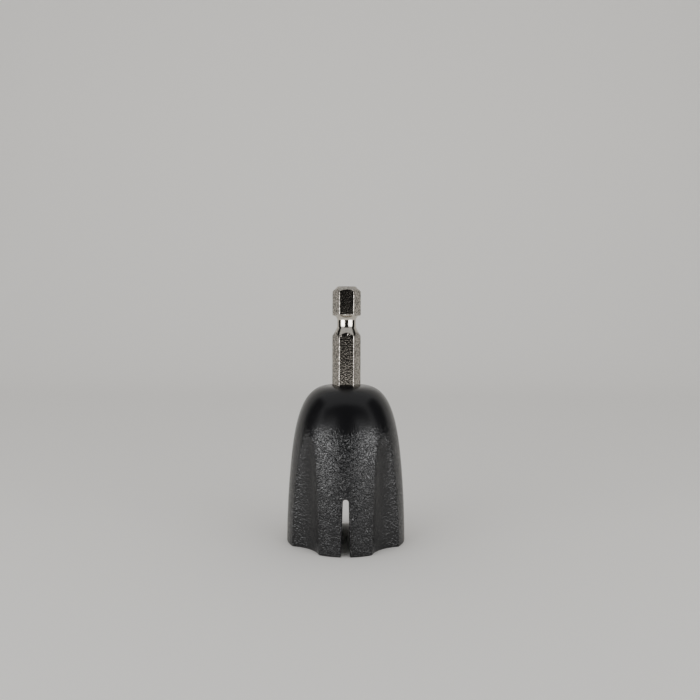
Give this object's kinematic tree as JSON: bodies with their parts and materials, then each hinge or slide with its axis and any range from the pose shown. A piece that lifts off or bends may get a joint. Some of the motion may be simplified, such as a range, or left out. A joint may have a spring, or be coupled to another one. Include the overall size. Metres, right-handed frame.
{
  "type": "string winder",
  "caption": "Drill-driven string winder: a fluted plastic bell with a slotted cup, moulded on a hexagonal steel bit.",
  "frame": {"origin": "centre of the bell's rim, in the plane of the rim", "axes": "+Z along the bit, from the rim to the bit's tip; the bell's two slots face -Y and +Y, and the bit's corners face -X and +X"},
  "size_m": [0.03, 0.03, 0.0648],
  "materials": {
    "head_plastic": "fine spark-eroded grain on the skirt, glossy on the shoulder",
    "shank_steel": "satin nickel plate"
  },
  "bodies": {
    "root": {"winder_head": "head_plastic", "hex_shank": "shank_steel"}
  },
  "joints": []
}
